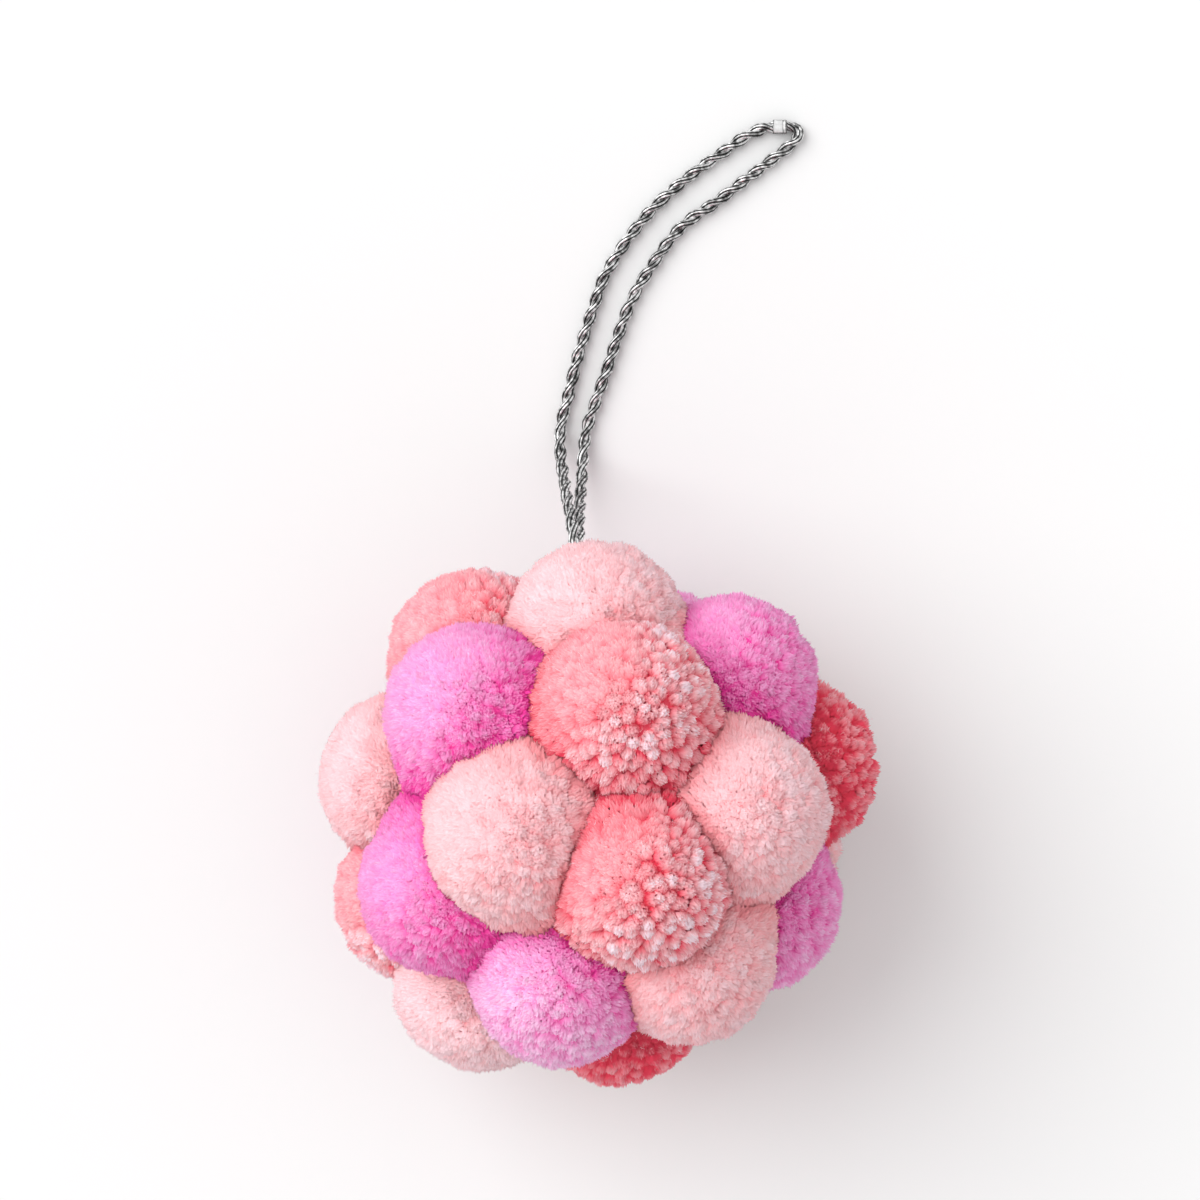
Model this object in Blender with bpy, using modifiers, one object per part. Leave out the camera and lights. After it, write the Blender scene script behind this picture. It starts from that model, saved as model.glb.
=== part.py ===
"""Ball ornament of 26 cut-yarn pompoms with a hanging loop of silver twisted cord.

The ball lies on a flat surface at z = 0, seen from above as in the photograph: +X is to the right, +Y is
towards the loop. The origin is under the middle of the ball. Metres, +Z up.
"""

import math
from collections import namedtuple

import bmesh
import bpy
from mathutils import Vector, noise

MM = 0.001

# The ball. Its middle lies this high over the surface, with the three lowest pompoms pressed flat there.
MIDDLE = Vector((0.6, 0.4, 46.7)) * MM
GAP = 0.3 * MM

# A pompom: its body, how hard it is pressed against its neighbours, its lumps and its locks of yarn
BODY_INSET = 0.5 * MM
PRESS_SHARPNESS = 16
LUMP_HEIGHT = 0.5 * MM
LUMPS_ACROSS = 2.6
BALL_SUBDIVISIONS = 3
LOCKS_EACH = 11
LOCK_HEIGHT = 1.1 * MM
LOCK_TAPER = 0.65
LOCK_LEAN = 0.35
LOCKS_LEAN_ACROSS = 400
LOCK_ROOM = 1.5 * LOCK_HEIGHT
LOCK_LEAST_FACING = 0.2
LOCK_FLOOR_CLEARANCE = 5 * MM
LEAST_FACING = 0.05
SHARP_EDGE = math.radians(40)

# The twisted cord: two plies, turned right-handed, with grooves between them
CORD_DIAMETER = 2.5 * MM
CORD_PITCH = 7.6 * MM
CORD_STEP = 0.8 * MM
GROOVE_DEPTH = 0.42
SECTION_POINTS = 8
ROUTE_PARTS = 24

# The cord's two legs go in between the pompoms one above the other, along a straight way
WAY_TILT, WAY_TURN = 103, 94.5
WAY_INNER, WAY_OUTER = 22, 47
LEG_PITCH = CORD_DIAMETER + GAP

# The small sleeve that joins the cord's ends at the loop's tip
JOIN_LENGTH = 2.6 * MM
JOIN_RADIUS = 1.4 * MM
JOIN_PLACE = Vector((34.4, 127.8, 1.4)) * MM
JOIN_EDGE = 0.3 * MM
JOIN_EDGE_ANGLE = math.radians(60)
JOIN_SIDES = 16

# tilt: degrees down from straight up. turn: degrees round from +X. reach: mm from the ball's middle to the
# pompom's. radius: mm. The first 19 show in the photograph. The last 7 fill the back evenly.
Row = namedtuple("Row", "name colour tilt turn reach radius")
POMPOMS = [
    Row("pompom_01", "pale", 71, 91, 34.5, 16.3),
    Row("pompom_02", "coral", 90, 128, 35.5, 16.3),
    Row("pompom_03", "orchid", 76, 46, 34.5, 15.4),
    Row("pompom_04", "coral", 34, 77, 35.5, 16.0),
    Row("pompom_05", "orchid", 56, 140, 34.5, 16.1),
    Row("pompom_06", "pale", 101, 170, 35.5, 16.4),
    Row("pompom_07", "pale", 26, 188, 34.0, 15.9),
    Row("pompom_08", "pale", 46, 4, 34.5, 15.4),
    Row("pompom_09", "coral", 100, 14, 35.5, 16.4),
    Row("pompom_10", "coral", 20, 304, 36.0, 15.3),
    Row("pompom_11", "orchid", 59, 204, 34.0, 15.9),
    Row("pompom_12", "coral", 101, 205, 36.0, 15.9),
    Row("pompom_13", "pale", 93, 235, 36.5, 16.2),
    Row("pompom_14", "orchid", 57, 256, 34.0, 15.8),
    Row("pompom_15", "pale", 57, 303, 34.0, 15.6),
    Row("pompom_16", "orchid", 90, 330, 31.2, 16.3),
    Row("pompom_17", "coral", 107, 276, 34.8, 16.6),
    Row("pompom_18", "orchid", 129, 69, 34.5, 16.0),
    Row("pompom_19", "pale", 129, 347, 36.0, 16.8),
    Row("pompom_20", "coral", 153, 22, 36.0, 16.4),
    Row("pompom_21", "orchid", 153, 142, 36.0, 16.4),
    Row("pompom_22", "pale", 153, 262, 36.0, 16.4),
    Row("pompom_23", "coral", 124, 308, 35.0, 16.0),
    Row("pompom_24", "pale", 124, 114, 35.0, 16.2),
    Row("pompom_25", "pale", 109, 46, 34.0, 15.6),
    Row("pompom_26", "orchid", 130, 210, 35.0, 16.2),
]

# The middle line of each leg of the loop, in mm: out of the ball, down to the surface, and along it
LEFT_LEG = [
    (-1.1, 22.1, 43.2), (-2.0, 33.7, 40.4), (-2.8, 43.4, 38.2), (-4.1, 50.0, 35.9),
    (-4.7, 54.2, 30.4), (-5.4, 57.4, 22.1), (-6.0, 61.0, 13.2), (-6.6, 64.6, 6.6),
    (-6.9, 69.0, 2.6), (-6.5, 72.8, 1.4), (-5.4, 77.0, 1.25), (-4.4, 81.4, 1.25),
    (-3.2, 85.9, 1.25), (-1.9, 90.1, 1.25), (-0.5, 94.2, 1.25), (1.1, 98.9, 1.25),
    (3.5, 103.3, 1.25), (6.1, 107.1, 1.25), (8.8, 110.5, 1.25), (11.6, 113.5, 1.25),
    (14.6, 116.2, 1.25), (17.6, 118.7, 1.25), (20.9, 121.1, 1.25), (24.5, 123.6, 1.25),
    (28.0, 126.0, 1.25), (30.9, 127.4, 1.3), (32.4, 127.75, 1.35),
]
RIGHT_LEG = [
    (-1.1, 21.5, 40.5), (-2.0, 33.1, 37.7), (-2.8, 42.8, 35.4), (-3.2, 48.8, 33.0),
    (-3.2, 52.8, 26.8), (-3.1, 56.0, 18.4), (-2.9, 59.4, 10.4), (-2.7, 63.4, 4.9),
    (-2.4, 67.6, 2.2), (-1.7, 71.6, 1.35), (-0.6, 75.0, 1.25), (0.5, 78.2, 1.25),
    (1.7, 81.5, 1.25), (2.9, 85.2, 1.25), (4.1, 88.8, 1.25), (5.2, 92.0, 1.25),
    (6.5, 95.1, 1.25), (8.1, 98.2, 1.25), (9.9, 101.0, 1.25), (11.7, 103.7, 1.25),
    (13.6, 106.3, 1.25), (15.8, 108.9, 1.25), (18.7, 111.2, 1.25), (21.9, 113.3, 1.25),
    (24.7, 115.4, 1.25), (27.4, 117.5, 1.25), (30.5, 119.8, 1.25), (33.3, 121.9, 1.25),
    (35.5, 123.6, 1.25), (37.1, 125.0, 1.25), (37.8, 126.4, 1.3), (37.4, 127.5, 1.35),
    (36.4, 127.8, 1.35),
]

# Principled base colour, roughness and metallic
FINISHES = {
    "pale": ((0.90, 0.60, 0.60), 0.9, 0.0),
    "coral": ((0.86, 0.27, 0.27), 0.85, 0.0),
    "orchid": ((0.84, 0.26, 0.60), 0.85, 0.0),
    "silver": ((0.72, 0.72, 0.74), 0.25, 1.0),
}


def clear_scene():
    """Removes every object of the open scene."""
    for thing in list(bpy.data.objects):
        bpy.data.objects.remove(thing, do_unlink=True)


def make_collection(name):
    """A new collection in the scene."""
    collection = bpy.data.collections.new(name)
    bpy.context.scene.collection.children.link(collection)
    return collection


def make_material(name, finish):
    """A Principled material with a finish's colour, roughness and metallic value."""
    colour, roughness, metallic = FINISHES[finish]
    material = bpy.data.materials.new(name)
    material.use_nodes = True
    shader = material.node_tree.nodes["Principled BSDF"]
    shader.inputs["Base Color"].default_value = (*colour, 1.0)
    shader.inputs["Roughness"].default_value = roughness
    shader.inputs["Metallic"].default_value = metallic
    return material


def round_the_ball(tilt, turn, reach):
    """The point at a tilt and turn from the ball's middle, reach mm out."""
    tilt = math.radians(tilt)
    turn = math.radians(turn)
    direction = Vector((math.sin(tilt) * math.cos(turn), math.sin(tilt) * math.sin(turn), math.cos(tilt)))
    return MIDDLE + direction * reach * MM


def centre_of(row):
    """A pompom's centre."""
    return round_the_ball(row.tilt, row.turn, row.reach)


def plane_to_neighbour(row, other):
    """The plane where a pompom meets a neighbour, as its normal and its distance, or None if they are clear."""
    across = centre_of(other) - centre_of(row)
    apart = across.length
    own = row.radius * MM
    theirs = other.radius * MM
    if apart >= own + theirs:
        return None
    meets_at = (apart**2 + own**2 - theirs**2) / (2 * apart)
    return across.normalized(), meets_at - GAP / 2


def plane_to_cord(row):
    """The plane that keeps a pompom off the two legs of cord where they go in, or None if it is clear."""
    start = round_the_ball(WAY_TILT, WAY_TURN, WAY_INNER)
    end = round_the_ball(WAY_TILT, WAY_TURN, WAY_OUTER)
    way = end - start
    centre = centre_of(row)
    share = max(0.0, min(1.0, (centre - start).dot(way) / way.length_squared))
    across = start + way * share - centre
    normal = across.normalized()
    half_stack = CORD_DIAMETER / 2 + abs(normal.z) * LEG_PITCH / 2
    distance = across.length - half_stack - GAP
    if distance >= row.radius * MM:
        return None
    return normal, distance


def pressing_planes(row):
    """Every plane that a pompom is pressed against."""
    planes = [plane_to_neighbour(row, other) for other in POMPOMS if other is not row]
    planes.append(plane_to_cord(row))
    return [plane for plane in planes if plane]


def body_radius(direction, row, planes, seed):
    """How far a pompom's body reaches in a direction: a lumpy ball, pressed softly against its planes."""
    lump = LUMP_HEIGHT * noise.noise(direction * LUMPS_ACROSS + seed)
    reach = row.radius * MM - BODY_INSET + lump
    total = reach**-PRESS_SHARPNESS
    for normal, distance in planes:
        facing = direction.dot(normal)
        if facing > LEAST_FACING:
            total += (distance / facing) ** -PRESS_SHARPNESS
    reach = total ** (-1 / PRESS_SHARPNESS)
    height = centre_of(row).z
    if direction.z < 0:
        reach = min(reach, height / -direction.z)
    return reach


def lock_faces(mesh, row, planes):
    """The faces that carry locks: on the free outer side, each as far as possible from the ones before."""
    outward = (centre_of(row) - MIDDLE).normalized()
    height = centre_of(row).z
    free = []
    for face in mesh.faces:
        middle = face.calc_center_median()
        direction = middle.normalized()
        off_floor = height + middle.z > LOCK_FLOOR_CLEARANCE
        room = all(middle.dot(normal) + LOCK_ROOM < distance for normal, distance in planes)
        if off_floor and room and direction.dot(outward) > LOCK_LEAST_FACING:
            free.append((face, direction))
    free.sort(key=lambda pair: -pair[1].dot(outward))
    chosen = [free[0]]
    while len(chosen) < min(LOCKS_EACH, len(free)):
        chosen.append(min(free, key=lambda pair: max(pair[1].dot(old[1]) for old in chosen)))
    return [face for face, direction in chosen]


def raise_locks(mesh, faces, seed):
    """Draws each face out into a blunt three-sided lock of yarn that leans a little."""
    raised = bmesh.ops.extrude_discrete_faces(mesh, faces=faces)["faces"]
    for face in raised:
        middle = face.calc_center_median()
        direction = middle.normalized()
        lean = noise.noise_vector(middle * LOCKS_LEAN_ACROSS + seed) * LOCK_LEAN
        tip = middle + (direction + lean).normalized() * LOCK_HEIGHT
        for vert in face.verts:
            vert.co = tip + (vert.co - middle) * LOCK_TAPER


def make_pompom(row, number, collection):
    """One pompom: a ball pressed against its neighbours, with locks of yarn round its free side."""
    planes = pressing_planes(row)
    seed = Vector((number * 3.1, number * 1.7, number * 2.3))
    mesh = bmesh.new()
    bmesh.ops.create_icosphere(mesh, subdivisions=BALL_SUBDIVISIONS, radius=1.0)
    for vert in mesh.verts:
        direction = vert.co.normalized()
        vert.co = direction * body_radius(direction, row, planes, seed)
    raise_locks(mesh, lock_faces(mesh, row, planes), seed)
    data = bpy.data.meshes.new(row.name)
    mesh.to_mesh(data)
    mesh.free()
    data.shade_smooth()
    data.set_sharp_from_angle(angle=SHARP_EDGE)
    data.materials.append(make_material(f"{row.name}_yarn", row.colour))
    pompom = bpy.data.objects.new(row.name, data)
    pompom.location = centre_of(row)
    collection.objects.link(pompom)
    return pompom


def between(before, start, end, after, share):
    """A point on the smooth curve between start and end that also heeds the points before and after."""
    linear = end - before
    square = 2 * before - 5 * start + 4 * end - after
    cube = 3 * (start - end) + after - before
    return start + 0.5 * share * (linear + share * (square + share * cube))


def smooth_points(route, step):
    """Points a step apart along the smooth curve through a route given in mm."""
    knots = [Vector(place) * MM for place in route]
    knots = [2 * knots[0] - knots[1], *knots, 2 * knots[-1] - knots[-2]]
    fine = []
    for place in range(1, len(knots) - 2):
        fine += [between(*knots[place - 1 : place + 3], part / ROUTE_PARTS) for part in range(ROUTE_PARTS)]
    fine.append(knots[-2])
    length = sum((b - a).length for a, b in zip(fine, fine[1:]))
    count = round(length / step)
    points = [fine[0]]
    walked = 0.0
    for a, b in zip(fine, fine[1:]):
        piece = (b - a).length
        while len(points) < count and walked + piece >= len(points) * length / count:
            share = (len(points) * length / count - walked) / piece
            points.append(a.lerp(b, share))
        walked += piece
    points.append(fine[-1])
    return points


def section_radius(angle):
    """The cord's reach at an angle round its section: widest at its two plies, narrow at the grooves between."""
    return CORD_DIAMETER / 2 * (1 - GROOVE_DEPTH * math.sin(angle) ** 2)


def make_section(collection):
    """The cord's section as a closed flat outline, which the legs are swept with."""
    curve = bpy.data.curves.new("cord_section", "CURVE")
    curve.dimensions = "2D"
    spline = curve.splines.new("POLY")
    spline.points.add(SECTION_POINTS - 1)
    for index, point in enumerate(spline.points):
        angle = -index * math.tau / SECTION_POINTS
        radius = section_radius(angle)
        point.co = (radius * math.cos(angle), radius * math.sin(angle), 0.0, 1.0)
    spline.use_cyclic_u = True
    section = bpy.data.objects.new("cord_section", curve)
    section.hide_render = True
    section.display_type = "WIRE"
    collection.objects.link(section)
    return section


def make_leg(name, route, section, collection):
    """One leg of the loop: the section swept along its route and turned as it goes."""
    places = smooth_points(route, CORD_STEP)
    curve = bpy.data.curves.new(name, "CURVE")
    curve.dimensions = "3D"
    curve.twist_mode = "MINIMUM"
    curve.bevel_mode = "OBJECT"
    curve.bevel_object = section
    curve.use_fill_caps = True
    spline = curve.splines.new("POLY")
    spline.points.add(len(places) - 1)
    walked = 0.0
    for index, (point, place) in enumerate(zip(spline.points, places)):
        if index:
            walked += (place - places[index - 1]).length
        point.co = (*place, 1.0)
        point.tilt = walked / CORD_PITCH * math.tau
    curve.materials.append(make_material(f"{name}_silver", "silver"))
    leg = bpy.data.objects.new(name, curve)
    collection.objects.link(leg)
    return leg


def make_join(collection):
    """The short sleeve over the cord's ends at the loop's tip."""
    bpy.ops.mesh.primitive_cylinder_add(
        vertices=JOIN_SIDES,
        radius=JOIN_RADIUS,
        depth=JOIN_LENGTH,
        location=JOIN_PLACE,
        rotation=(0.0, math.radians(90), 0.0),
    )
    join = bpy.context.object
    join.name = "cord_join"
    edge = join.modifiers.new("edge", "BEVEL")
    edge.width = JOIN_EDGE
    edge.segments = 2
    edge.limit_method = "ANGLE"
    edge.angle_limit = JOIN_EDGE_ANGLE
    join.data.materials.append(make_material("cord_join_silver", "silver"))
    for home in list(join.users_collection):
        home.objects.unlink(join)
    collection.objects.link(join)
    return join


def main():
    clear_scene()
    ornament = make_collection("pompom_ball_ornament")
    guides = make_collection("guides")
    for number, row in enumerate(POMPOMS, start=1):
        make_pompom(row, number, ornament)
    section = make_section(guides)
    make_leg("cord_left_leg", LEFT_LEG, section, ornament)
    make_leg("cord_right_leg", RIGHT_LEG, section, ornament)
    make_join(ornament)


main()
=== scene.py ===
import math
from collections import namedtuple

import bmesh
import bpy
import numpy as np
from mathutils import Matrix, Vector


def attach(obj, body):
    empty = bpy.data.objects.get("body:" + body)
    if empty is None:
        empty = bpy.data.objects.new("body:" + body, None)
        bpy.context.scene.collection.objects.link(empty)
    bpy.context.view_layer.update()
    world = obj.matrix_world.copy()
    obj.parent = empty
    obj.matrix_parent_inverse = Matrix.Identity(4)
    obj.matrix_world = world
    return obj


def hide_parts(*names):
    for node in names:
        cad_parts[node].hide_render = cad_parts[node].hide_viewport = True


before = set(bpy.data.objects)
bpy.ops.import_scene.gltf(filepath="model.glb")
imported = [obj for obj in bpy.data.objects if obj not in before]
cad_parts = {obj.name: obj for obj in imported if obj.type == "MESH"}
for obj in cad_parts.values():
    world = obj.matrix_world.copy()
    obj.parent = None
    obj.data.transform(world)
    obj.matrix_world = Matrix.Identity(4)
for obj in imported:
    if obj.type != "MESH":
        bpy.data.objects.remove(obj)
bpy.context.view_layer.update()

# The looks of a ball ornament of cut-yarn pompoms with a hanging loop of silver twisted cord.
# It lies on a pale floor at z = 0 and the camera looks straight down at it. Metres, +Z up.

MM = 0.001

# The ball of pompoms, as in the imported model
MIDDLE = Vector((0.6, 0.4, 46.7)) * MM

# Neighbours mesh by this much, and one that lies higher by OVERLAP_RISE or more also bulges over the
# lower one by OVERLAP
MESHING = 2.2 * MM
OVERLAP = 1.3 * MM
OVERLAP_RISE = 18 * MM
PRESS_SHARPNESS = 22
LEAST_FACING = 0.05
FLOOR_CLEARANCE = 0.05 * MM

# tilt: degrees down from straight up. turn: degrees round from +X. reach: mm from the ball's middle
# to the pompom's. radius: mm.
Row = namedtuple("Row", "name colour tilt turn reach radius")
POMPOMS = [
    Row("pompom_01", "pale", 71, 91, 34.5, 16.3),
    Row("pompom_02", "coral", 90, 128, 35.5, 16.3),
    Row("pompom_03", "orchid", 76, 46, 34.5, 15.4),
    Row("pompom_04", "coral", 34, 77, 35.5, 16.0),
    Row("pompom_05", "orchid", 56, 140, 34.5, 16.1),
    Row("pompom_06", "pale", 101, 170, 35.5, 16.4),
    Row("pompom_07", "pale", 26, 188, 34.0, 15.9),
    Row("pompom_08", "pale", 46, 4, 34.5, 15.4),
    Row("pompom_09", "coral", 100, 14, 35.5, 16.4),
    Row("pompom_10", "coral", 20, 304, 36.0, 15.3),
    Row("pompom_11", "orchid", 59, 204, 34.0, 15.9),
    Row("pompom_12", "coral", 101, 205, 36.0, 15.9),
    Row("pompom_13", "pale", 93, 235, 36.5, 16.2),
    Row("pompom_14", "orchid", 57, 256, 34.0, 15.8),
    Row("pompom_15", "pale", 57, 303, 34.0, 15.6),
    Row("pompom_16", "orchid", 90, 330, 31.2, 16.3),
    Row("pompom_17", "coral", 107, 276, 34.8, 16.6),
    Row("pompom_18", "orchid", 129, 69, 34.5, 16.0),
    Row("pompom_19", "pale", 129, 347, 36.0, 16.8),
    Row("pompom_20", "coral", 153, 22, 36.0, 16.4),
    Row("pompom_21", "orchid", 153, 142, 36.0, 16.4),
    Row("pompom_22", "pale", 153, 262, 36.0, 16.4),
    Row("pompom_23", "coral", 124, 308, 35.0, 16.0),
    Row("pompom_24", "pale", 124, 114, 35.0, 16.2),
    Row("pompom_25", "pale", 109, 46, 34.0, 15.6),
    Row("pompom_26", "orchid", 130, 210, 35.0, 16.2),
]

# The yarns. pitch: mm between fibres. tuft: mm between tufts of fibres. relief: mm by which the edge of
# a tuft lies under its middle. uneven: mm by which tufts stand proud or short. gather: how far a tuft's
# tips draw together. lean: how far fibres lean at random. softness: how far the pile shades as one.
# dome: how far its tufts shade as domes. The rest are in rise, which goes from 0 for the yarn's deepest
# colour, a painted shade, to 1 for its palest. edge: how far a tuft's edge deepens, a painted shade in
# the crevices between tufts. varied: how far one tuft is paler than another. brushed: how much paler
# the brushed side is, or deeper where it is negative, a painted tone for the key light that falls on
# that side. seam: how much deeper it is next to a neighbour, a painted shade along the seams.
Yarn = namedtuple("Yarn", "pitch tuft relief uneven gather lean softness dome edge varied brushed seam")
YARNS = {
    "pale": Yarn(0.45, 2.3, 0.38, 0.18, 0.04, 0.13, 0.87, 0.8, 0.20, 0.12, -0.22, 0.62),
    "coral": Yarn(0.45, 2.45, 0.88, 0.42, 0.10, 0.10, 0.80, 0.85, 0.43, 0.14, -0.37, 0.13),
    "orchid": Yarn(0.45, 2.1, 0.34, 0.20, 0.06, 0.14, 0.84, 0.75, 0.25, 0.10, -0.06, 0.42),
}
TUFT_JITTER = 0.28
FIBRE_JITTER = 0.16
TIP_JITTER = 0.06 * MM

# From a tuft's middle to its corners, as a share of the distance between tufts
TUFT_CORNER = 0.577

# A pompom's outside is uneven by about this much, over about this distance, as a sum of some waves
SWELL = 0.25 * MM
SWELL_LENGTH = 6 * MM
WAVES = 6
WAVE_STRETCH = 1.7
WAVE_LEVEL = 2.5

# The rise of a tip in the middle of a tuft, how far single tips vary, and the limits to which whole
# tufts vary, as multiples of the yarn's own measure
TIP_RISE = 0.95
TIPS_VARY = 0.04
TUFTS_VARY = -1.3, 1.8

# How much paler some pompoms are than the rest of their yarn, in rise, or deeper where it is negative:
# partly tone that differs from pompom to pompom, and partly painted shade, most on pompom_09 and
# pompom_17, which lie in the ball's shade away from the key light.
TONE_AND_PAINTED_SHADE = {
    "pompom_01": 0.10,
    "pompom_02": 0.10,
    "pompom_03": -0.06,
    "pompom_04": 0.10,
    "pompom_05": -0.07,
    "pompom_06": 0.06,
    "pompom_07": 0.02,
    "pompom_08": 0.11,
    "pompom_09": -0.39,
    "pompom_10": 0.09,
    "pompom_11": -0.16,
    "pompom_12": 0.12,
    "pompom_13": 0.20,
    "pompom_14": 0.16,
    "pompom_16": 0.06,
    "pompom_17": -0.44,
}

# Towards this side each pompom's pile is brushed smooth, by BRUSHED_SHARE of its relief. It starts
# where the pile faces that side by BRUSHED_STARTS and is full BRUSHED_RANGE further on. It is the side
# the key light falls on, and the colour changes made there, the yarn's brushed amount and the lighter
# colour at the roots, are painted light and shade.
BRUSHED_SIDE = -0.74, 0.52, 0.42
BRUSHED_SHARE = 0.8
BRUSHED_STARTS = 0.27
BRUSHED_RANGE = 0.5

# A fibre is a thin cone. One whose axis is more upright than UPRIGHT is turned by +X, the others by +Z.
FIBRE_LENGTH = 1.1 * MM
FIBRE_RADIUS = 0.45 * MM
FIBRE_WIDTHS = 0.8, 1.2
UPRIGHT = 0.9

# The dense inside lies about this far under the lowest tips
CORE_DEPTH = 0.8 * MM
# The dense inside takes this rise, near the deepest painted shade, as it shows only down in the pile's
# shade
CORE_RISE = 0.05
CORE_DETAIL = 3

# The loose fibres of each pompom: thin spikes with a bend, rooted among the tips. Lengths in mm.
STRAYS = 150
STRAY_RADIUS = 0.035 * MM
STRAY_TAPER = 0.8
STRAY_LENGTH = 0.6, 1.6
STRAY_ROOT = 0.4 * MM
STRAY_LEAN = 0.5
STRAY_BEND = 0.3
STRAY_RISE = 1.05

# Fibres whose tips lie nearer to the ball's middle than DEEPEST_FIBRE don't show. Where they are
# pressed in to less than PRESSED_SHARE of their free reach, those nearer than DEEPEST_PRESSED_FIBRE
# don't either.
DEEPEST_FIBRE = 32.5 * MM
DEEPEST_PRESSED_FIBRE = 36.5 * MM
PRESSED_SHARE = 0.95

# Where the gaps between pompoms are deep, their pile swells into them by up to this much
GAP_SWELL = 3.0 * MM
SWELL_STARTS = 42 * MM
SWELL_DEPTH = 5 * MM

# Deep between pompoms the soft normals turn out of the ball by up to this share
OPEN_STARTS = 47 * MM
OPEN_DEPTH = 8 * MM
OPEN_SHARE = 0.85

# How much painted shade deepens the colours, in rise: from a fibre's tip to its root, for the shade
# down in the pile, of which BRUSHED_ROOT_SHARE would be left on a wholly smooth pile; per share of its
# reach by which a fibre is pressed in, for the shade where pompoms press together; and for each mm that
# it lies deeper in the ball than DEEPENING_STARTS, for the shade deep between pompoms
ROOT_PAINTED_SHADE = 0.45
BRUSHED_ROOT_SHARE = 0.4
PRESSED_PAINTED_SHADE = 5.5
DEEPENING_STARTS = 47.5 * MM
DEPTH_PAINTED_SHADE = 0.032

# Next to a neighbour a painted shade deepens the colours by up to the yarn's seam, from where the pile
# comes within this share of the plane between the two, faster as it comes nearer
SEAM_STARTS = 0.76
SEAM_POWER = 1.5

# The silver cord: two plies, each of a few bright strands
LEFT_PITCH = 7.5 * MM
RIGHT_PITCH = 7.3 * MM
CORD_STEP = 0.5 * MM
PLY_REACH = 0.46 * MM
STRANDS_EACH = 6
STRAND_REACH = 0.50 * MM
STRAND_RADIUS = 0.29 * MM
STRAND_SIDES = 5
STRAND_PITCH = 26 * MM
STEEP_TWIST = 0.25
ROUTE_PARTS = 24

# The middle line of each leg of the loop, in mm: out of the ball, down to the surface, and along it
LEFT_LEG = [
    (-1.1, 22.1, 43.2), (-2.0, 33.7, 40.4), (-2.8, 43.4, 38.2), (-4.1, 50.0, 35.9),
    (-4.7, 54.2, 30.4), (-5.4, 57.4, 22.1), (-6.0, 61.0, 13.2), (-6.6, 64.6, 6.6),
    (-6.9, 69.0, 2.6), (-6.5, 72.8, 1.4), (-5.4, 77.0, 1.25), (-4.4, 81.4, 1.25),
    (-3.2, 85.9, 1.25), (-1.9, 90.1, 1.25), (-0.5, 94.2, 1.25), (1.1, 98.9, 1.25),
    (3.5, 103.3, 1.25), (6.1, 107.1, 1.25), (8.8, 110.5, 1.25), (11.6, 113.5, 1.25),
    (14.6, 116.2, 1.25), (17.6, 118.7, 1.25), (20.9, 121.1, 1.25), (24.5, 123.6, 1.25),
    (28.0, 126.0, 1.25), (30.9, 127.4, 1.3), (32.4, 127.75, 1.35),
]
RIGHT_LEG = [
    (-1.1, 21.5, 40.5), (-2.0, 33.1, 37.7), (-2.8, 42.8, 35.4), (-3.2, 48.8, 33.0),
    (-3.2, 52.8, 26.8), (-3.1, 56.0, 18.4), (-2.9, 59.4, 10.4), (-2.7, 63.4, 4.9),
    (-2.4, 67.6, 2.2), (-1.7, 71.6, 1.35), (-0.6, 75.0, 1.25), (0.5, 78.2, 1.25),
    (1.7, 81.5, 1.25), (2.9, 85.2, 1.25), (4.1, 88.8, 1.25), (5.2, 92.0, 1.25),
    (6.5, 95.1, 1.25), (8.1, 98.2, 1.25), (9.9, 101.0, 1.25), (11.7, 103.7, 1.25),
    (13.6, 106.3, 1.25), (15.8, 108.9, 1.25), (18.7, 111.2, 1.25), (21.9, 113.3, 1.25),
    (24.7, 115.4, 1.25), (27.4, 117.5, 1.25), (30.5, 119.8, 1.25), (33.3, 121.9, 1.25),
    (35.5, 123.6, 1.25), (37.1, 125.0, 1.25), (37.8, 126.4, 1.3), (37.4, 127.5, 1.35),
    (36.4, 127.8, 1.35),
]

# Where each leg ends inside the sleeve, in mm
LEFT_END = (33.6, 127.8, 1.4)
RIGHT_END = (35.2, 127.8, 1.4)

# The sleeve. Its profile gives, from its left end to its right: the share of its length, the share of
# its radius, and the rise, which is low at its ends and in its groove as painted shade.
JOIN_LENGTH = 2.6 * MM
JOIN_RADIUS = 1.4 * MM
JOIN_PLACE = Vector((34.4, 127.8, 1.4)) * MM
JOIN_SIDES = 40
JOIN_PROFILE = [
    (0.0, 0.70, 0.1), (0.0, 0.94, 0.25), (0.04, 1.0, 0.45), (0.12, 1.0, 0.85), (0.45, 0.97, 0.9),
    (0.66, 0.99, 0.85), (0.74, 0.93, 0.3), (0.80, 1.0, 0.75), (0.92, 1.0, 0.5), (1.0, 0.93, 0.2),
    (1.0, 0.70, 0.1),
]
JOIN_SQUARE = 5
JOIN_FLAT = 0.92
# Points higher than JOIN_TOP_STARTS lie on the upper face; the rest keep a share of their rise, a
# painted shade down the sleeve's sides
JOIN_TOP_STARTS = 0.68
JOIN_SIDE_SHADE_SHARE = 0.35
JOIN_CREASE = 35

# The camera hangs here, looks straight down and takes in the photograph's square
CAMERA_PLACE = Vector((0.6, 38.8, 900.0)) * MM
CAMERA_LENS = 143.3

# The key light comes from the upper left, as wide as a softbox, under an even white sky
KEY_SOURCE = -0.62, 0.32, 0.75
KEY_WIDTH = 55
KEY_STRENGTH = 1.65
SKY_STRENGTH = 0.70
FLOOR_SIZE = 6.0
FLOOR_GREY = 0.94

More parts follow.
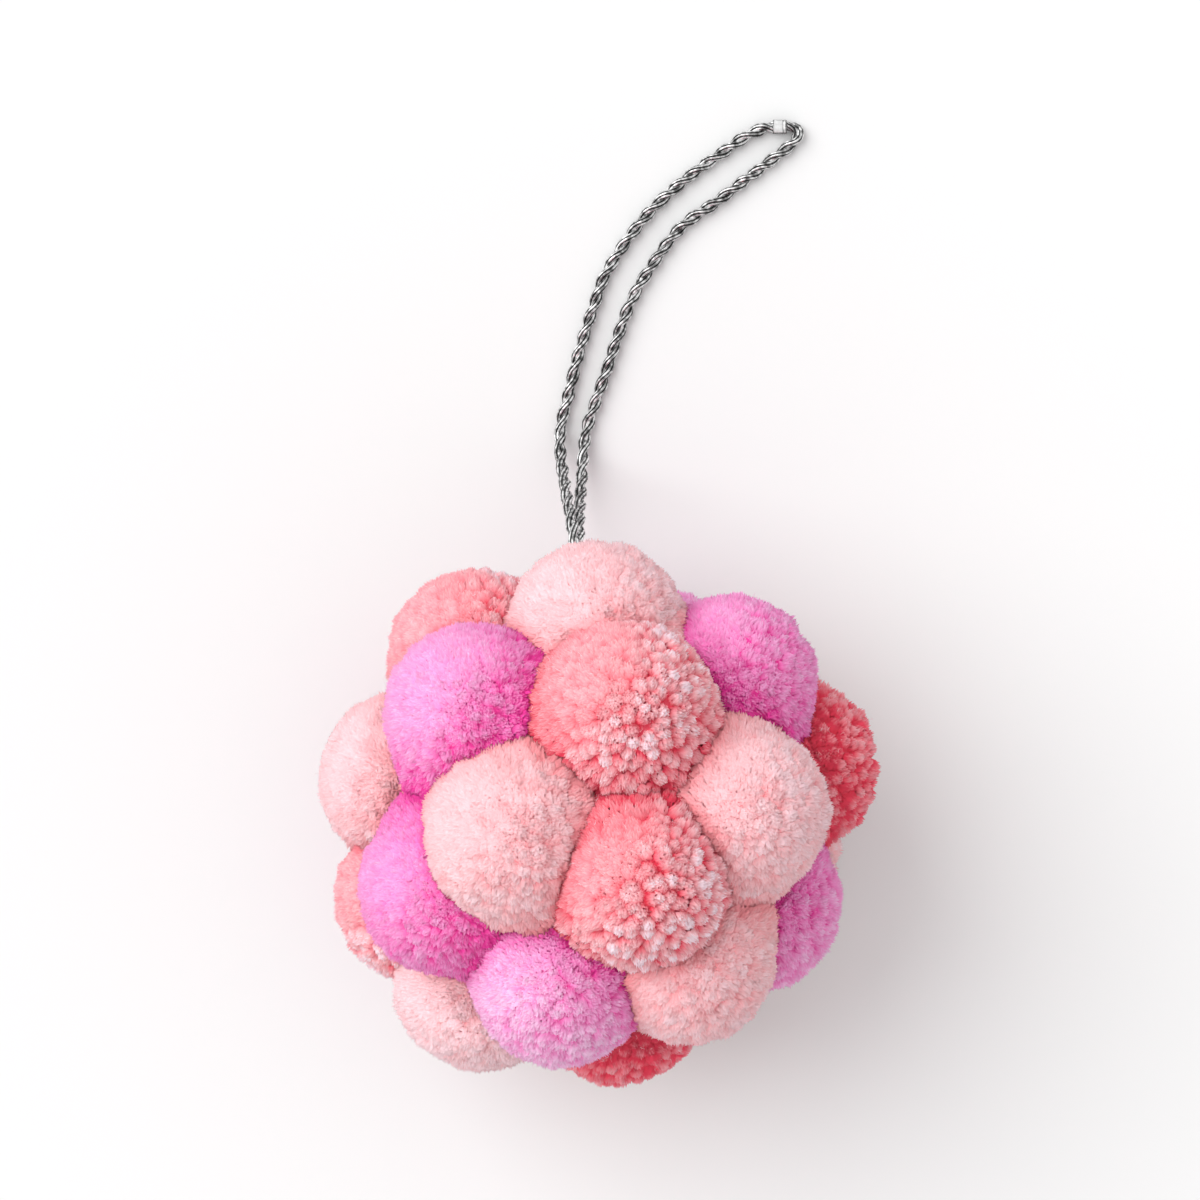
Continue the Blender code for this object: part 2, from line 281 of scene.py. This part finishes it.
# Greys of the silver cord and its sleeve, from their grooves and edges to their faces: the dark end is
# painted shade in the grooves and on the edges
SILVER_GREYS = [(0.45, 0.01), (0.7, 0.09), (0.87, 0.42), (1.0, 0.98)]
SLEEVE_GREYS = [(0.15, 0.03), (0.4, 0.25), (0.7, 0.72), (1.0, 0.90)]

# The noise that mottles a material's colours. scale: features a metre. detail: finer layers. most: how
# far it shifts them, in rise.
Mottle = namedtuple("Mottle", "scale detail most")
YARN_MOTTLE = Mottle(1400, 3, 0.05)
SILVER_MOTTLE = Mottle(900, 3, 0.22)
SLEEVE_MOTTLE = Mottle(1500, 2, 0.2)
MIDDLE_OF_NOISE = 0.3, 0.7

# The fine fibres in the yarn's bump
BUMP_SCALE = 5200
BUMP_DETAIL = 2
BUMP_STRENGTH = 0.2
BUMP_DEPTH = 0.12 * MM


def make_mesh_object(name, points, faces, rises, material):
    """A smooth-shaded mesh object, with a rise at each point for its material to read."""
    mesh = bpy.data.meshes.new(name)
    mesh.from_pydata(points.tolist(), [], faces)
    mesh.shade_smooth()
    rise = mesh.attributes.new("rise", "FLOAT", "POINT")
    rise.data.foreach_set("value", rises.astype(np.float32))
    mesh.materials.append(material)
    thing = bpy.data.objects.new(name, mesh)
    bpy.context.scene.collection.objects.link(thing)
    return thing


def unit(vectors):
    """Each row at length 1."""
    return vectors / np.linalg.norm(vectors, axis=1, keepdims=True)


def soften_normals(mesh, soft_normals, share):
    """Turn each point's normal towards a softer one by that share, so that fibres shade as one pile."""
    own = np.empty(len(mesh.vertices) * 3, dtype=np.float32)
    mesh.vertex_normals.foreach_get("vector", own)
    blend = unit(own.reshape(-1, 3) * (1 - share) + soft_normals * share)
    mesh.normals_split_custom_set_from_vertices(blend.tolist())


# Camera, light and floor


def make_camera():
    camera = bpy.data.objects.new("camera", bpy.data.cameras.new("camera"))
    camera.data.lens = CAMERA_LENS
    camera.location = CAMERA_PLACE
    bpy.context.scene.collection.objects.link(camera)
    bpy.context.scene.camera = camera


def make_far_light(name, source, width, strength):
    """A far, soft light from the direction of its source. width: degrees of the sky that it fills."""
    data = bpy.data.lights.new(name, "SUN")
    data.angle = math.radians(width)
    data.energy = strength
    light = bpy.data.objects.new(name, data)
    light.rotation_euler = Vector(source).to_track_quat("Z", "Y").to_euler()
    bpy.context.scene.collection.objects.link(light)


def make_light():
    make_far_light("key", KEY_SOURCE, KEY_WIDTH, KEY_STRENGTH)
    world = bpy.data.worlds.new("studio")
    world.use_nodes = True
    sky = world.node_tree.nodes["Background"]
    sky.inputs["Color"].default_value = (1.0, 1.0, 1.0, 1.0)
    sky.inputs["Strength"].default_value = SKY_STRENGTH
    bpy.context.scene.world = world
    bpy.context.scene.view_settings.view_transform = "Standard"


def make_floor():
    bpy.ops.mesh.primitive_plane_add(size=FLOOR_SIZE)
    floor = bpy.context.object
    floor.name = "floor"
    material = bpy.data.materials.new("pale_floor")
    material.use_nodes = True
    shader = material.node_tree.nodes["Principled BSDF"]
    shader.inputs["Base Color"].default_value = (FLOOR_GREY, FLOOR_GREY, FLOOR_GREY, 1.0)
    shader.inputs["Roughness"].default_value = 0.9
    shader.inputs["Specular IOR Level"].default_value = 0.2
    floor.data.materials.append(material)


# Materials


def new_material(name):
    """A material, its nodes, its links and its Principled shader."""
    material = bpy.data.materials.new(name)
    material.use_nodes = True
    tree = material.node_tree
    return material, tree.nodes, tree.links, tree.nodes["Principled BSDF"]


def add_noise(nodes, links, scale, detail):
    """A noise that lies in the object's own space."""
    place = nodes.new("ShaderNodeTexCoord")
    noise = nodes.new("ShaderNodeTexNoise")
    noise.inputs["Scale"].default_value = scale
    noise.inputs["Detail"].default_value = detail
    links.new(place.outputs["Object"], noise.inputs["Vector"])
    return noise


def add_spread(nodes, links, noise, most):
    """The noise's middle range, spread from -most to most."""
    spread = nodes.new("ShaderNodeMapRange")
    spread.inputs["From Min"].default_value = MIDDLE_OF_NOISE[0]
    spread.inputs["From Max"].default_value = MIDDLE_OF_NOISE[1]
    spread.inputs["To Min"].default_value = -most
    spread.inputs["To Max"].default_value = most
    links.new(noise.outputs["Fac"], spread.inputs["Value"])
    return spread


def add_ramp(nodes, links, value, stops):
    """A colour ramp through stops of a place and a colour."""
    ramp = nodes.new("ShaderNodeValToRGB")
    elements = ramp.color_ramp.elements
    while len(elements) < len(stops):
        elements.new(0.5)
    for element, (position, colour) in zip(elements, stops):
        element.position = position
        element.color = (*colour, 1.0)
    links.new(value, ramp.inputs["Fac"])
    return ramp


def colour_by_rise(nodes, links, shader, mottle, stops):
    """Colour a shader by the mesh's own rise, mottled, through the stops of a ramp."""
    rise = nodes.new("ShaderNodeAttribute")
    rise.attribute_name = "rise"
    noise = add_noise(nodes, links, mottle.scale, mottle.detail)
    spread = add_spread(nodes, links, noise, mottle.most)
    added = nodes.new("ShaderNodeMath")
    added.operation = "ADD"
    links.new(rise.outputs["Fac"], added.inputs[0])
    links.new(spread.outputs["Result"], added.inputs[1])
    ramp = add_ramp(nodes, links, added.outputs["Value"], stops)
    links.new(ramp.outputs["Color"], shader.inputs["Base Color"])


def grey_stops(greys):
    """The stops of a colour ramp from places and greys."""
    return [(place, (grey, grey, grey)) for place, grey in greys]


def make_yarn_material(name, look):
    """Cut yarn: its colour follows the rise from root to tip, whose deep end is painted shade, with
    fine fibres in a bump.
    """
    material, nodes, links, shader = new_material(name)
    colour_by_rise(nodes, links, shader, YARN_MOTTLE, look.stops)
    fibre = add_noise(nodes, links, BUMP_SCALE, BUMP_DETAIL)
    bump = nodes.new("ShaderNodeBump")
    bump.inputs["Strength"].default_value = BUMP_STRENGTH
    bump.inputs["Distance"].default_value = BUMP_DEPTH
    links.new(fibre.outputs["Fac"], bump.inputs["Height"])
    links.new(bump.outputs["Normal"], shader.inputs["Normal"])
    shader.inputs["Roughness"].default_value = 0.9
    shader.inputs["Specular IOR Level"].default_value = 0.0
    shader.inputs["Subsurface Weight"].default_value = 0.8
    shader.subsurface_method = "BURLEY"
    shader.inputs["Subsurface Radius"].default_value = (1.0, 1.0, 1.0)
    shader.inputs["Subsurface Scale"].default_value = look.glow * MM
    shader.inputs["Sheen Weight"].default_value = 0.35
    shader.inputs["Sheen Roughness"].default_value = 0.5
    shader.inputs["Sheen Tint"].default_value = (*look.sheen, 1.0)
    return material


def make_silver_material():
    """Bright metallic yarn: bright where its strands face out, with painted shade in the grooves
    between them.
    """
    material, nodes, links, shader = new_material("silver_cord_strands")
    colour_by_rise(nodes, links, shader, SILVER_MOTTLE, grey_stops(SILVER_GREYS))
    shader.inputs["Metallic"].default_value = 0.85
    shader.inputs["Roughness"].default_value = 0.38
    return material


def make_sleeve_material():
    """The bright satin sleeve at the loop's tip, with edges and a groove darkened by painted shade."""
    material, nodes, links, shader = new_material("silver_join_sleeve")
    colour_by_rise(nodes, links, shader, SLEEVE_MOTTLE, grey_stops(SLEEVE_GREYS))
    shader.inputs["Metallic"].default_value = 0.3
    shader.inputs["Roughness"].default_value = 0.35
    return material


# The cord


def between(before, start, end, after, share):
    """A point on the smooth curve between start and end that also heeds the points before and after."""
    linear = end - before
    square = 2 * before - 5 * start + 4 * end - after
    cube = 3 * (start - end) + after - before
    return start + 0.5 * share * (linear + share * (square + share * cube))


def smooth_points(route, step):
    """Points a step apart along the smooth curve through a route given in mm."""
    knots = [Vector(place) * MM for place in route]
    knots = [2 * knots[0] - knots[1], *knots, 2 * knots[-1] - knots[-2]]
    fine = []
    for place in range(1, len(knots) - 2):
        four = knots[place - 1 : place + 3]
        fine += [between(*four, part / ROUTE_PARTS) for part in range(ROUTE_PARTS)]
    fine.append(knots[-2])
    length = sum((b - a).length for a, b in zip(fine, fine[1:]))
    count = round(length / step)
    points = [fine[0]]
    walked = 0.0
    for a, b in zip(fine, fine[1:]):
        piece = (b - a).length
        while len(points) < count and walked + piece >= len(points) * length / count:
            share = (len(points) * length / count - walked) / piece
            points.append(a.lerp(b, share))
        walked += piece
    points.append(fine[-1])
    return points


def carried_frames(places):
    """A line's direction at each point, with two across it that turn as little as they can."""
    ways = [(b - a).normalized() for a, b in zip(places, places[1:])]
    ways.append(ways[-1])
    across = ways[0].orthogonal().normalized()
    frames = []
    for way in ways:
        across = (across - way * across.dot(way)).normalized()
        frames.append((way, across, way.cross(across)))
    return frames


def walk_along(places):
    """How far along each point is for the twist, which is looser where the cord comes down steeply."""
    walked = [0.0]
    for a, b in zip(places, places[1:]):
        level = math.hypot(b.x - a.x, b.y - a.y)
        walked.append(walked[-1] + level + STEEP_TWIST * ((b - a).length - level))
    return walked


def make_leg(name, route, end, pitch, material):
    """One leg of the loop: two plies wound round each other, each of a few strands.

    Rise is 1 where a strand faces out of its ply and 0 where it faces in, so that painted shade darkens
    the strands' inner sides.
    """
    places = smooth_points([*route, end], CORD_STEP)
    frames = carried_frames(places)
    along = walk_along(places)
    points = []
    rises = []
    faces = []
    rings = len(places)
    for ply in range(2):
        for strand in range(STRANDS_EACH):
            start = len(points)
            for place, (_, across, over), walked in zip(places, frames, along):
                round_cord = (walked / pitch + ply / 2) * math.tau
                round_ply = (walked / STRAND_PITCH + strand / STRANDS_EACH) * math.tau
                outward = across * math.cos(round_ply) + over * math.sin(round_ply)
                offset = (across * math.cos(round_cord) + over * math.sin(round_cord)) * PLY_REACH
                offset += outward * STRAND_REACH
                for side in range(STRAND_SIDES):
                    angle = side / STRAND_SIDES * math.tau
                    normal = across * math.cos(angle) + over * math.sin(angle)
                    points.append(place + offset + normal * STRAND_RADIUS)
                    rises.append(0.5 + 0.5 * normal.dot(outward))
            for ring in range(rings - 1):
                for side in range(STRAND_SIDES):
                    a = start + ring * STRAND_SIDES + side
                    b = start + ring * STRAND_SIDES + (side + 1) % STRAND_SIDES
                    faces.append((a, b, b + STRAND_SIDES, a + STRAND_SIDES))
            last = start + (rings - 1) * STRAND_SIDES
            faces.append(tuple(start + side for side in reversed(range(STRAND_SIDES))))
            faces.append(tuple(last + side for side in range(STRAND_SIDES)))
    leg = make_mesh_object(name, np.array([list(p) for p in points]), faces, np.array(rises), material)
    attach(leg, "root")
    return leg, places


def make_join(material):
    """The sleeve: a short tube pressed nearly square, with crisp ends, over the cord's ends.

    Rise is highest on its upper face, and lower at its ends, in its groove and down its sides, as
    painted shade.
    """
    points = []
    rises = []
    faces = []
    for along, reach, end_rise in JOIN_PROFILE:
        for side in range(JOIN_SIDES):
            angle = side / JOIN_SIDES * math.tau
            out = math.cos(angle)
            up = math.sin(angle)
            square = (abs(out) ** JOIN_SQUARE + abs(up) ** JOIN_SQUARE) ** (-1 / JOIN_SQUARE)
            radius = JOIN_RADIUS * reach * square * JOIN_FLAT
            offset = Vector(((along - 0.5) * JOIN_LENGTH, out * radius, up * radius))
            points.append(list(JOIN_PLACE + offset))
            rises.append(end_rise * (1.0 if up > JOIN_TOP_STARTS else JOIN_SIDE_SHADE_SHARE))
    for ring in range(len(JOIN_PROFILE) - 1):
        for side in range(JOIN_SIDES):
            a = ring * JOIN_SIDES + side
            b = ring * JOIN_SIDES + (side + 1) % JOIN_SIDES
            faces.append((b, a, a + JOIN_SIDES, b + JOIN_SIDES))
    faces.append(tuple(range(JOIN_SIDES)))
    faces.append(tuple(len(points) - 1 - side for side in range(JOIN_SIDES)))
    join = make_mesh_object("silver_sleeve", np.array(points), faces, np.array(rises), material)
    join.data.set_sharp_from_angle(angle=math.radians(JOIN_CREASE))
    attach(join, "root")
    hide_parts("cord_join")
    return join


def make_cord():
    """The hanging loop: a leg from the ball to the sleeve, and a leg from there back into the ball."""
    silver = make_silver_material()
    join = make_join(make_sleeve_material())
    left, left_places = make_leg("silver_cord_left", LEFT_LEG, LEFT_END, LEFT_PITCH, silver)
    right, right_places = make_leg("silver_cord_right", RIGHT_LEG, RIGHT_END, RIGHT_PITCH, silver)
    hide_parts("cord_left_leg")
    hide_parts("cord_right_leg")
    right_places.reverse()


# The pompoms


def centre_of(row):
    """A pompom's centre."""
    tilt = math.radians(row.tilt)
    turn = math.radians(row.turn)
    flat = math.sin(tilt)
    direction = Vector((flat * math.cos(turn), flat * math.sin(turn), math.cos(tilt)))
    return MIDDLE + direction * row.reach * MM


def planes_round(row):
    """The planes between a pompom and its neighbours: normals, and distances from its centre."""
    normals = []
    distances = []
    own = row.radius * MM
    for other in POMPOMS:
        across = centre_of(other) - centre_of(row)
        theirs = other.radius * MM
        if other is not row and across.length < own + theirs:
            meets_at = (across.length**2 + own**2 - theirs**2) / (2 * across.length)
            normals.append(across.normalized())
            higher = (centre_of(row).z - centre_of(other).z) / OVERLAP_RISE
            distances.append(meets_at + MESHING / 2 + OVERLAP * min(max(higher, 0), 1))
    return np.array(normals), np.array(distances)


def pile_reach(directions, row, planes, free_reach):
    """How far the pile reaches in each direction, pressed against its planes and the floor."""
    normals, distances = planes
    total = free_reach**-PRESS_SHARPNESS
    for normal, distance in zip(normals, distances):
        facing = np.maximum(directions @ normal, LEAST_FACING)
        total = total + (distance / facing) ** -PRESS_SHARPNESS
    reach = total ** (-1 / PRESS_SHARPNESS)
    height = centre_of(row).z
    down = np.maximum(-directions[:, 2], LEAST_FACING)
    return np.minimum(reach, height / down)


def seam_shade(directions, planes, reach):
    """How near the pile comes to the nearest of its planes: 1 there and 0 from SEAM_STARTS inwards."""
    normals, distances = planes
    nearness = (directions @ normals.T * reach[:, None] / distances).max(axis=1)
    return np.clip((nearness - SEAM_STARTS) / (1 - SEAM_STARTS), 0, 1)


def spread_directions(count, jitter, random):
    """Directions spread evenly over a whole ball, but for a jitter as a share of their spacing."""
    index = np.arange(count) + 0.5
    height = 1 - 2 * index / count
    turn = math.pi * (1 + math.sqrt(5)) * index
    flat = np.sqrt(1 - height**2)
    directions = np.column_stack((flat * np.cos(turn), flat * np.sin(turn), height))
    spacing = math.sqrt(4 * math.pi / count)
    directions += random.normal(0, jitter * spacing, directions.shape)
    spin = np.linalg.qr(random.normal(size=(3, 3)))[0]
    return unit(directions) @ spin


def waves(points, size, random):
    """A smooth random value from about -1 to 1 at each point, with features of that size."""
    total = np.zeros(len(points))
    for _ in range(WAVES):
        way = random.normal(size=3) * math.tau / size / WAVE_STRETCH
        total += np.sin(points @ way + random.uniform(0, math.tau))
    return total / WAVE_LEVEL


def patterned_faces(pattern, count, each, start):
    """The faces of count copies of a pattern, whose points come each at a time from start."""
    bases = range(start, start + count * each, each)
    return [tuple(point + base for point in face) for base in bases for face in pattern]


def ways_across(axes):
    """Two directions square to each axis and to each other."""
    helper = np.where(np.abs(axes[:, 2:3]) < UPRIGHT, [[0.0, 0.0, 1.0]], [[1.0, 0.0, 0.0]])
    across = unit(np.cross(axes, helper))
    return across, np.cross(axes, across)


def fibres_mesh(roots, tips, rises, root_rises, random):
    """Points, faces and rises of many fibres, each a three-sided cone from its root to its tip."""
    count = len(tips)
    across, over = ways_across(unit(tips - roots))
    spin = random.uniform(0, math.tau, count)
    width = FIBRE_RADIUS * random.uniform(*FIBRE_WIDTHS, count)
    blocks = []
    for side in range(3):
        angle = spin + side / 3 * math.tau
        sideways = (np.cos(angle) * width)[:, None]
        upwards = (np.sin(angle) * width)[:, None]
        blocks.append(roots + across * sideways + over * upwards)
    blocks.append(tips)
    points = np.stack(blocks, axis=1).reshape(-1, 3)
    all_rises = np.stack([root_rises] * 3 + [rises], axis=1).reshape(-1)
    return points, patterned_faces([(0, 1, 3), (1, 2, 3), (2, 0, 3)], count, 4, 0), all_rises


def strays_mesh(roots, axes, start, random):
    """Points, faces and rises of the loose long fibres, each a thin three-sided spike with a bend."""
    count = len(roots)
    across, over = ways_across(axes)
    bend = across * random.normal(0, STRAY_BEND, count)[:, None]
    bend = bend + over * random.normal(0, STRAY_BEND, count)[:, None]
    lengths = random.uniform(*STRAY_LENGTH, count) * MM
    halfway = roots + (axes + bend) * (lengths * 0.5)[:, None]
    ends = roots + (axes - bend) * lengths[:, None]
    blocks = []
    for middle, share in ((roots, 1.0), (halfway, STRAY_TAPER)):
        for side in range(3):
            angle = side / 3 * math.tau
            around = across * math.cos(angle) + over * math.sin(angle)
            blocks.append(middle + around * STRAY_RADIUS * share)
    blocks.append(ends)
    points = np.stack(blocks, axis=1).reshape(-1, 3)
    pattern = [(2, 1, 0)]
    for side in range(3):
        other = (side + 1) % 3
        pattern.append((side, other, other + 3, side + 3))
        pattern.append((side + 3, other + 3, 6))
    faces = patterned_faces(pattern, count, len(blocks), start)
    return points, faces, np.full(len(points), STRAY_RISE)


def core_mesh(row, planes, depth, start):
    """Points, faces and rises of a pompom's dense inside, which shows only deep between its fibres."""
    mesh = bmesh.new()
    bmesh.ops.create_icosphere(mesh, subdivisions=CORE_DETAIL, radius=1.0)
    directions = np.array([list(vert.co.normalized()) for vert in mesh.verts])
    free_reach = np.full(len(directions), row.radius * MM)
    reach = pile_reach(directions, row, planes, free_reach) - depth
    faces = [tuple(start + vert.index for vert in face.verts) for face in mesh.faces]
    mesh.free()
    points = np.array(centre_of(row)) + directions * reach[:, None]
    return points, faces, np.full(len(points), CORE_RISE)


def count_at(pitch, radius):
    """How many places at that pitch a ball of that radius has."""
    return round(4 * math.pi * radius**2 / (pitch**2 * math.sqrt(3) / 2))


def grow_pile(row, yarn, planes, random):
    """The fibres of a pompom, gathered in domed tufts.

    Gives their roots, tips, tips' rises, roots' rises and soft normals.
    """
    centre = np.array(centre_of(row))
    radius = row.radius * MM
    directions = spread_directions(count_at(yarn.pitch * MM, radius), FIBRE_JITTER, random)
    tufts = spread_directions(count_at(yarn.tuft * MM, radius), TUFT_JITTER, random)
    own_tuft = np.argmax(directions @ tufts.T, axis=1)
    away = directions - tufts[own_tuft]
    tuft_radius = yarn.tuft * MM * TUFT_CORNER
    share = np.linalg.norm(away, axis=1) * radius / tuft_radius
    free_reach = radius + SWELL * waves(directions * radius, SWELL_LENGTH, random)
    reach = pile_reach(directions, row, planes, free_reach)
    depth = np.linalg.norm(centre + directions * reach[:, None] - np.array(MIDDLE), axis=1)
    free_reach += GAP_SWELL * np.clip((SWELL_STARTS - depth) / SWELL_DEPTH, 0, 1)
    reach = pile_reach(directions, row, planes, free_reach)
    uneven = yarn.uneven * MM
    tuft_heights = np.clip(random.normal(0, uneven / 2, len(tufts)), -uneven, uneven)
    facing = directions @ unit(np.array([BRUSHED_SIDE]))[0]
    brushed = np.clip((facing - BRUSHED_STARTS) / BRUSHED_RANGE, 0, 1)
    tufted = 1 - BRUSHED_SHARE * brushed
    relief = yarn.relief * MM * tufted
    fall = relief * share**2
    tip_reach = reach + tuft_heights[own_tuft] * tufted - fall
    tip_reach = tip_reach + random.normal(0, TIP_JITTER, len(directions))
    tufts_lean = random.normal(0, yarn.lean, tufts.shape)[own_tuft] * FIBRE_LENGTH
    leans = random.normal(0, yarn.lean, directions.shape) * FIBRE_LENGTH + tufts_lean
    tips = centre + unit(directions - away * yarn.gather) * tip_reach[:, None] + leans
    roots = centre + directions * (tip_reach - FIBRE_LENGTH)[:, None]
    pressed = 1 - reach / free_reach
    # Painted shade: deeper at a tuft's edges and where a fibre is pressed into a seam
    rises = TIP_RISE - yarn.edge * tufted * share**2 - PRESSED_PAINTED_SHADE * pressed
    rises += random.normal(0, TIPS_VARY, len(tips))
    rises += np.clip(random.normal(0, 1, len(tufts)), *TUFTS_VARY)[own_tuft] * yarn.varied * tufted
    # Per-pompom tone with painted shade on some pompoms, and the painted tone on the side the key light
    # falls on
    rises += TONE_AND_PAINTED_SHADE.get(row.name, 0) + yarn.brushed * brushed
    # Painted shade: deeper down in the ball, along the seams and at each fibre's root
    rises -= DEPTH_PAINTED_SHADE * np.maximum(DEEPENING_STARTS - depth, 0) / MM
    rises -= yarn.seam * seam_shade(directions, planes, reach) ** SEAM_POWER
    root_rises = rises - ROOT_PAINTED_SHADE * (BRUSHED_ROOT_SHARE + (1 - BRUSHED_ROOT_SHARE) * tufted)
    soft = unit(directions + away * (yarn.dome * 2 * relief * radius / tuft_radius**2)[:, None])
    depth = np.linalg.norm(tips - np.array(MIDDLE), axis=1)
    free = (reach > PRESSED_SHARE * free_reach) & (depth > DEEPEST_FIBRE)
    shows = (depth > DEEPEST_PRESSED_FIBRE) | free
    return roots[shows], tips[shows], rises[shows], root_rises[shows], soft[shows]


def open_out(normals, points):
    """Soft normals turned out of the ball where they lie deep between pompoms, towards the light."""
    out = points - np.array(MIDDLE)
    depth = np.linalg.norm(out, axis=1, keepdims=True)
    share = np.clip((OPEN_STARTS - depth) / OPEN_DEPTH, 0, 1) * OPEN_SHARE
    return unit(normals * (1 - share) + out / depth * share)


def make_pompom(row, number, material):
    """One pompom: its fibres in tufts, its strays and its dense core, joined as one mesh."""
    yarn = YARNS[row.colour]
    random = np.random.default_rng(number)
    planes = planes_round(row)
    roots, tips, rises, root_rises, soft = grow_pile(row, yarn, planes, random)
    parts = [fibres_mesh(roots, tips, rises, root_rises, random)]
    start = len(parts[0][0])
    chosen = random.integers(0, len(tips), STRAYS)
    stray_axes = unit(unit(tips - roots)[chosen] + random.normal(0, STRAY_LEAN, (STRAYS, 3)))
    parts.append(strays_mesh(tips[chosen] - stray_axes * STRAY_ROOT, stray_axes, start, random))
    start += len(parts[1][0])
    lowest_tips = (yarn.relief + yarn.uneven / 2) * MM
    parts.append(core_mesh(row, planes, CORE_DEPTH + lowest_tips, start))
    points = np.concatenate([part[0] for part in parts])
    points[:, 2] = np.maximum(points[:, 2], FLOOR_CLEARANCE)
    faces = [face for part in parts for face in part[1]]
    all_rises = np.concatenate([part[2] for part in parts])
    pompom = make_mesh_object(f"{row.name}_pile", points, faces, all_rises, material)
    normals = unit(points - np.array(centre_of(row)))
    normals[: 4 * len(tips)] = np.repeat(soft, 4, axis=0)
    soften_normals(pompom.data, open_out(normals, points), yarn.softness)
    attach(pompom, "root")
    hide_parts(row.name)


# Each yarn's colours from root to tip, its sheen, and how far light spreads in it in mm. The deep end
# of each ramp is painted shade, for the roots, tuft edges, seams and inside of the pile.
Look = namedtuple("Look", "stops sheen glow")
LOOKS = {
    "pale": Look(
        [
            (0.0, (0.95, 0.34, 0.37)),
            (0.4, (0.93, 0.46, 0.49)),
            (0.7, (0.92, 0.56, 0.59)),
            (1.0, (0.92, 0.66, 0.70)),
        ],
        (1.0, 0.62, 0.66),
        0.5,
    ),
    "coral": Look(
        [
            (0.0, (0.86, 0.07, 0.12)),
            (0.4, (0.92, 0.29, 0.335)),
            (0.75, (0.97, 0.51, 0.545)),
            (1.0, (0.98, 0.77, 0.84)),
        ],
        (1.0, 0.36, 0.44),
        0.4,
    ),
    "orchid": Look(
        [
            (0.0, (0.88, 0.06, 0.36)),
            (0.4, (0.90, 0.22, 0.53)),
            (0.75, (0.91, 0.38, 0.66)),
            (1.0, (0.92, 0.57, 0.78)),
        ],
        (0.95, 0.38, 0.76),
        0.45,
    ),
}


def main():
    make_camera()
    make_cord()
    make_light()
    make_floor()
    materials = {name: make_yarn_material(f"{name}_cut_yarn", LOOKS[name]) for name in LOOKS}
    for number, row in enumerate(POMPOMS, start=1):
        make_pompom(row, number, materials[row.colour])


main()
